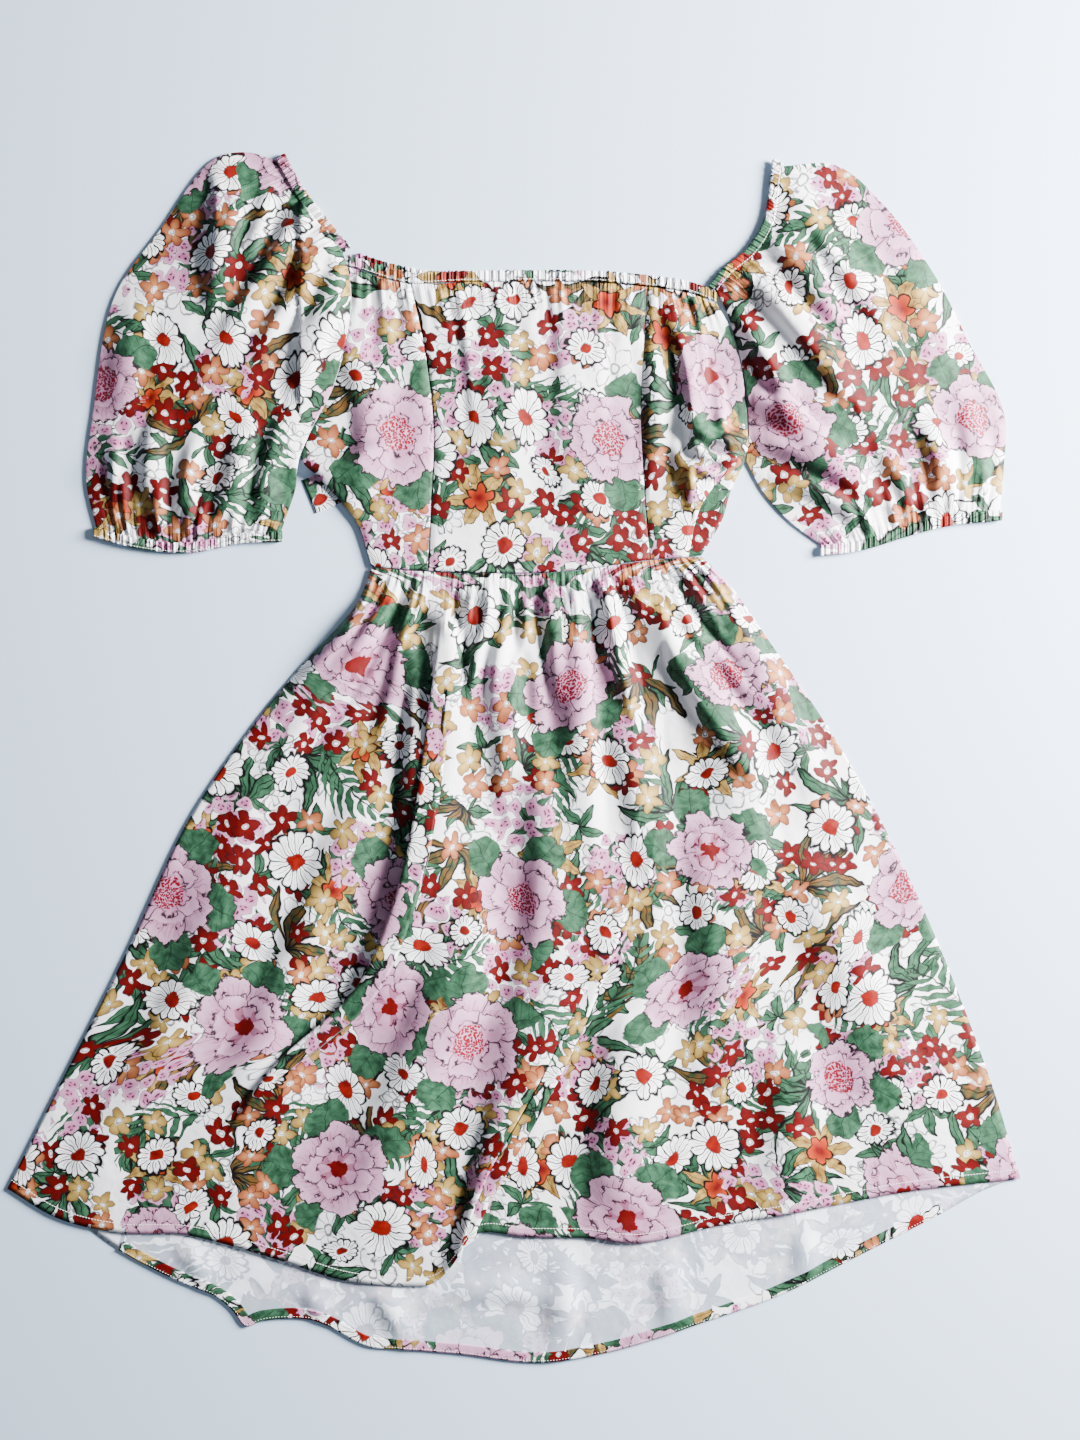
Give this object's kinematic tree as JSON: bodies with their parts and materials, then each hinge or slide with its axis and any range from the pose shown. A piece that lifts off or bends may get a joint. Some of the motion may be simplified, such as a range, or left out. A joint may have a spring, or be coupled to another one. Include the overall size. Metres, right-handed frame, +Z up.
{
  "type": "dress",
  "caption": "Light dress laid flat: elastic square neckline, puffed short sleeves, princess seams, gathered skirt with a longer back hem, and back ties.",
  "frame": {"origin": "on the surface, under the middle of the dress's bounding box", "axes": "+X to the right of the picture, +Y from hem to neckline, +Z up from the surface the dress lies on"},
  "size_m": [1.012, 1.2084, 0.0182],
  "materials": {
    "print_cloth": "smooth printed cloth",
    "gathered_casing": "printed cloth gathered on elastic",
    "reverse_cloth": "paler wrong side of the printed cloth"
  },
  "bodies": {
    "root": {"bodice_front_left": "print_cloth", "bodice_front_centre": "print_cloth", "bodice_front_right": "print_cloth", "bodice_back": "print_cloth", "skirt_back": "reverse_cloth", "hem_turning_back": "print_cloth", "skirt_front": "print_cloth", "neck_casing_front": "gathered_casing", "neck_casing_back": "gathered_casing", "sleeve_left": "print_cloth", "sleeve_right": "print_cloth", "shoulder_casing_left": "gathered_casing", "shoulder_casing_right": "gathered_casing", "cuff_left": "gathered_casing", "cuff_right": "gathered_casing", "tie_right": "print_cloth", "tie_left": "print_cloth"}
  },
  "joints": []
}
